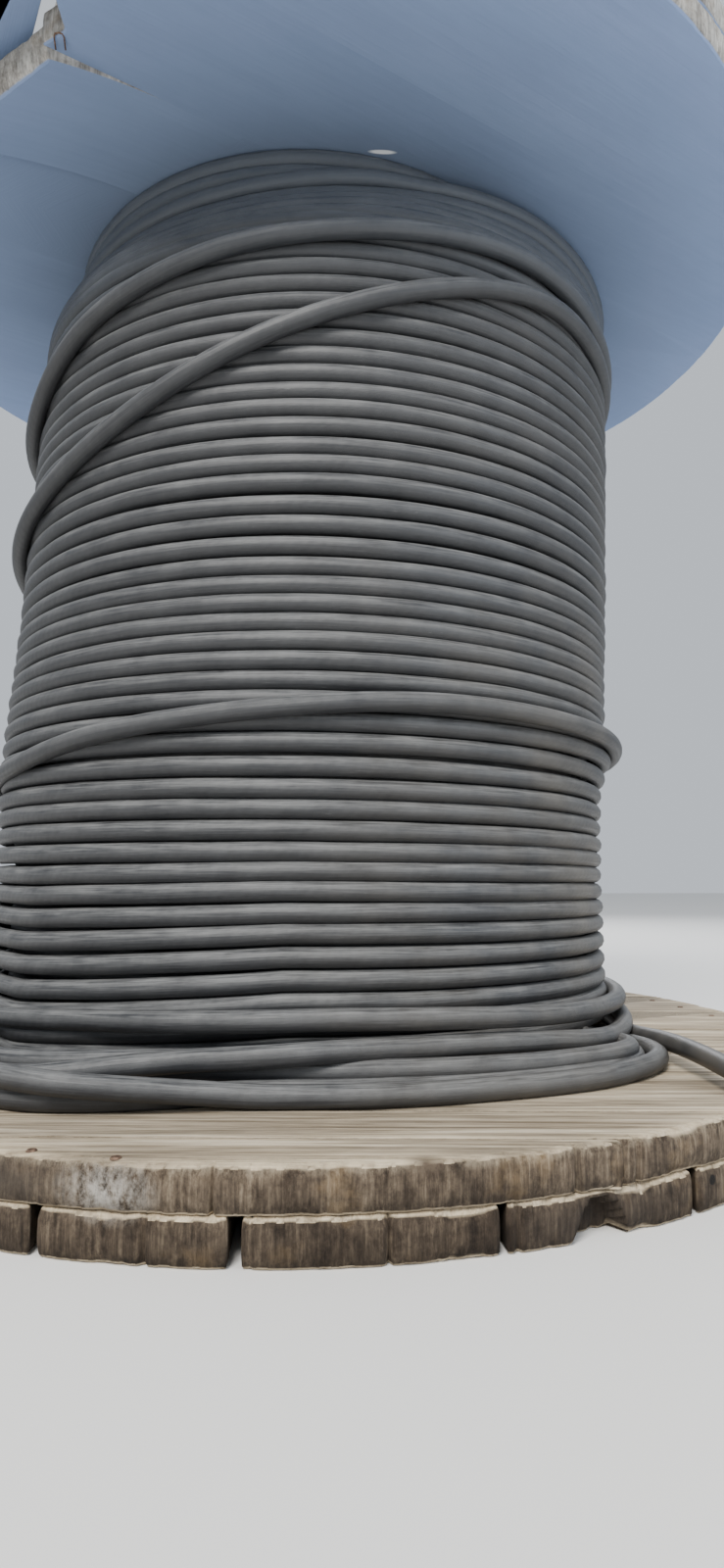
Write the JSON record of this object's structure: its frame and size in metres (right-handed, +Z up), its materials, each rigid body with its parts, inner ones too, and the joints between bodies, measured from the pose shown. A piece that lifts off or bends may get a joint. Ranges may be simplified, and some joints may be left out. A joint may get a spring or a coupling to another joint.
{
  "type": "wooden cable drum wound with sheathed cable",
  "caption": "Wooden cable drum standing on its end, with round two-layer board flanges and a full winding of thick dark sheathed cable, some turns slipped across the rest.",
  "frame": {"origin": "centre of the lower flange's underside, on the spindle axis", "axes": "+Z up along the spindle axis towards the upper flange, +X to the right and -Y towards a viewer in front"},
  "size_m": [1.4, 1.4, 1.32],
  "materials": {
    "lower_flange_wood": "weathered sawn softwood",
    "upper_flange_wood": "weathered sawn softwood, stained dark on its inner face",
    "barrel_wood": "sawn softwood",
    "bush_steel": "dull rusted steel",
    "rod_steel": "galvanised steel",
    "cable_sheath": "matte black cable sheath with light scuffs"
  },
  "bodies": {
    "root": {"barrel_staves": "barrel_wood", "cable_tail": "cable_sheath", "cable_winding": "cable_sheath", "lower_inner_board_1": "lower_flange_wood", "lower_inner_board_10": "lower_flange_wood", "lower_inner_board_2": "lower_flange_wood", "lower_inner_board_3": "lower_flange_wood", "lower_inner_board_4": "lower_flange_wood", "lower_inner_board_5": "lower_flange_wood", "lower_inner_board_6": "lower_flange_wood", "lower_inner_board_7": "lower_flange_wood", "lower_inner_board_8": "lower_flange_wood", "lower_inner_board_9": "lower_flange_wood", "lower_outer_board_1": "lower_flange_wood", "lower_outer_board_2": "lower_flange_wood", "lower_outer_board_3": "lower_flange_wood", "lower_outer_board_4": "lower_flange_wood", "lower_outer_board_5": "lower_flange_wood", "lower_outer_board_6": "lower_flange_wood", "lower_outer_board_7": "lower_flange_wood", "lower_outer_board_8": "lower_flange_wood", "lower_spindle_bush": "bush_steel", "stray_turns": "cable_sheath", "tie_rod_nuts": "rod_steel", "tie_rod_washers": "rod_steel", "tie_rods": "rod_steel", "upper_inner_board_1": "upper_flange_wood", "upper_inner_board_2": "upper_flange_wood", "upper_inner_board_3": "upper_flange_wood", "upper_inner_board_4": "upper_flange_wood", "upper_inner_board_5": "upper_flange_wood", "upper_inner_board_6": "upper_flange_wood", "upper_inner_board_7": "upper_flange_wood", "upper_inner_board_8": "upper_flange_wood", "upper_inner_board_9": "upper_flange_wood", "upper_outer_board_1": "upper_flange_wood", "upper_outer_board_2": "upper_flange_wood", "upper_outer_board_3": "upper_flange_wood", "upper_outer_board_4": "upper_flange_wood", "upper_outer_board_5": "upper_flange_wood", "upper_outer_board_6": "upper_flange_wood", "upper_outer_board_7": "upper_flange_wood", "upper_outer_board_8": "upper_flange_wood", "upper_outer_board_9": "upper_flange_wood", "upper_spindle_bush": "bush_steel"}
  },
  "joints": []
}
